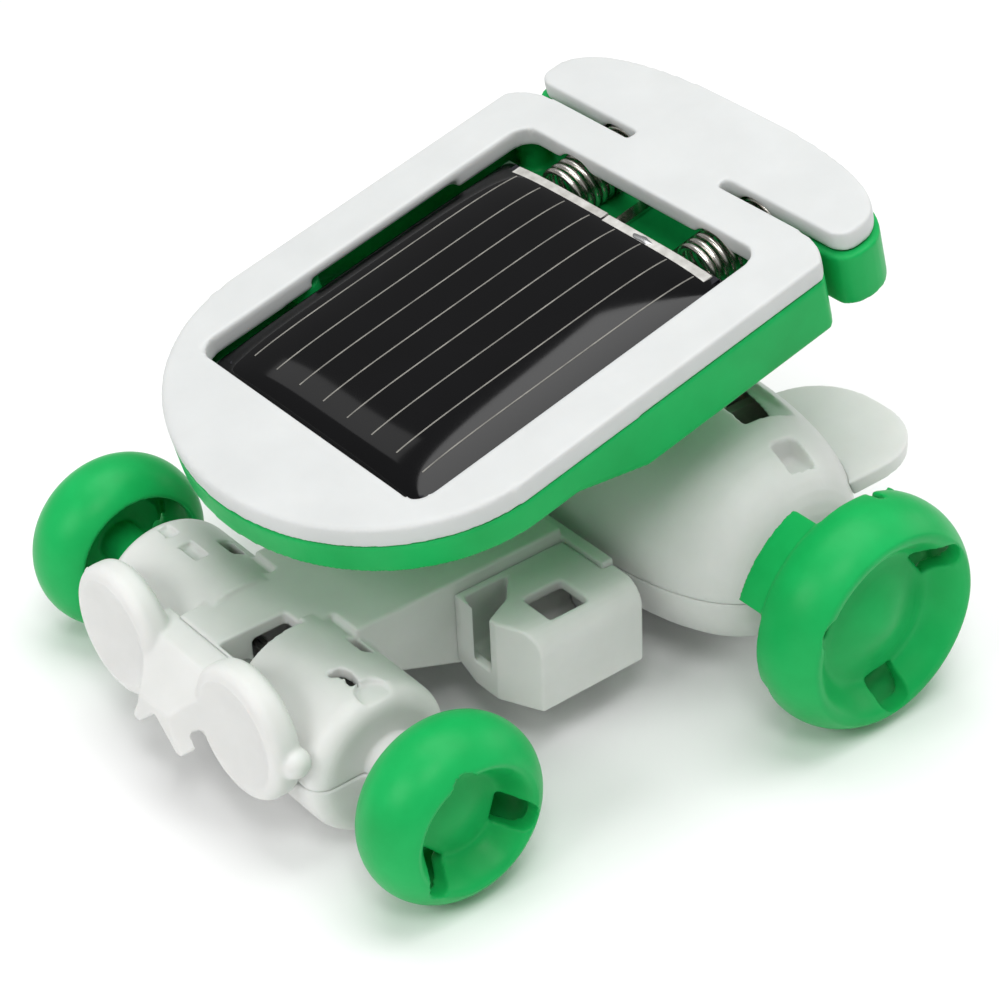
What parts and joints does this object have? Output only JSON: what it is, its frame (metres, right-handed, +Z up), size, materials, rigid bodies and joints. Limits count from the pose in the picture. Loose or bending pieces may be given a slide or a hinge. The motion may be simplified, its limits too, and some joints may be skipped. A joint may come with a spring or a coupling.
{
  "type": "solar toy car",
  "caption": "Small snap-together toy car from a solar robotics kit: a tilted solar module on a geared rear axle, a beam chassis and four open plastic wheels.",
  "frame": {"origin": "on the ground, under the centre of the car's outline box", "axes": "+Z up, +Y towards the tail fins, +X towards the car's left side"},
  "size_m": [0.0808, 0.084, 0.0509],
  "materials": {
    "white_plastic": "satin moulded ABS",
    "green_plastic": "semi-gloss moulded plastic",
    "gear_plastic": "acetal",
    "silicon": "dark coated silicon",
    "silver_print": "printed silver paste",
    "clear_resin": "clear glossy epoxy over a black cell",
    "cell_board": "laminate board",
    "nickel": "nickel plated spring steel",
    "steel": "plain steel",
    "iron": "laminated iron and ferrite",
    "copper": "copper and brass"
  },
  "bodies": {
    "chassis": {"top_frame": "white_plastic", "lower_shell": "green_plastic", "cell_board": "cell_board", "silicon_wafer": "silicon", "cell_fingers": "silver_print", "cell_bus_bars": "silver_print", "cell_resin": "clear_resin", "contact_spring_left": "nickel", "contact_spring_right": "nickel", "contact_strips": "nickel", "module_screws": "steel", "module_post": "white_plastic", "chassis_beam": "white_plastic", "front_axle_cover": "white_plastic", "cover_screws": "steel", "front_fairing": "white_plastic", "socket_left": "white_plastic", "socket_right": "white_plastic", "gearbox_upper": "white_plastic", "gearbox_lower": "white_plastic", "gearbox_screws": "steel", "tail_fin_left": "white_plastic", "tail_fin_right": "white_plastic", "gear_plate_inner": "gear_plastic", "gear_plate_outer": "gear_plastic", "idler_pin": "steel", "motor_can": "steel", "motor_end_cap": "white_plastic", "motor_magnets": "iron", "motor_brushes": "copper", "motor_leads": "copper", "rear_bushes": "copper", "front_bushes": "copper"},
    "rotor": {"motor_shaft": "steel", "armature_core": "iron", "armature_windings": "copper", "commutator": "copper", "pinion": "gear_plastic"},
    "idler": {"compound_gear": "gear_plastic"},
    "rear_axle_set": {"rear_axle": "steel", "axle_gear": "gear_plastic", "rear_wheel_left": "green_plastic", "rear_wheel_right": "green_plastic"},
    "front_axle_set": {"front_axle": "steel", "front_wheel_left": "green_plastic", "front_wheel_right": "green_plastic"}
  },
  "joints": [
    {"name": "rear_axle_spin", "type": "hinge", "parent": "chassis", "child": "rear_axle_set", "pos_m": [0, 0.02105, 0.0129], "axis": [1, 0, 0], "continuous": true},
    {"name": "front_axle_spin", "type": "hinge", "parent": "chassis", "child": "front_axle_set", "pos_m": [0, -0.0275, 0.01], "axis": [1, 0, 0], "continuous": true},
    {"name": "idler_spin", "type": "hinge", "parent": "chassis", "child": "idler", "pos_m": [0, 0.01468, 0.01773], "axis": [1, 0, 0], "continuous": true},
    {"name": "rotor_spin", "type": "hinge", "parent": "chassis", "child": "rotor", "pos_m": [0, 0.0203, 0.0219], "axis": [1, 0, 0], "continuous": true}
  ],
  "couplings": [
    {"joint": "idler_spin", "follows": "rear_axle_spin", "ratio": -3},
    {"joint": "rotor_spin", "follows": "rear_axle_spin", "ratio": 7.5}
  ]
}
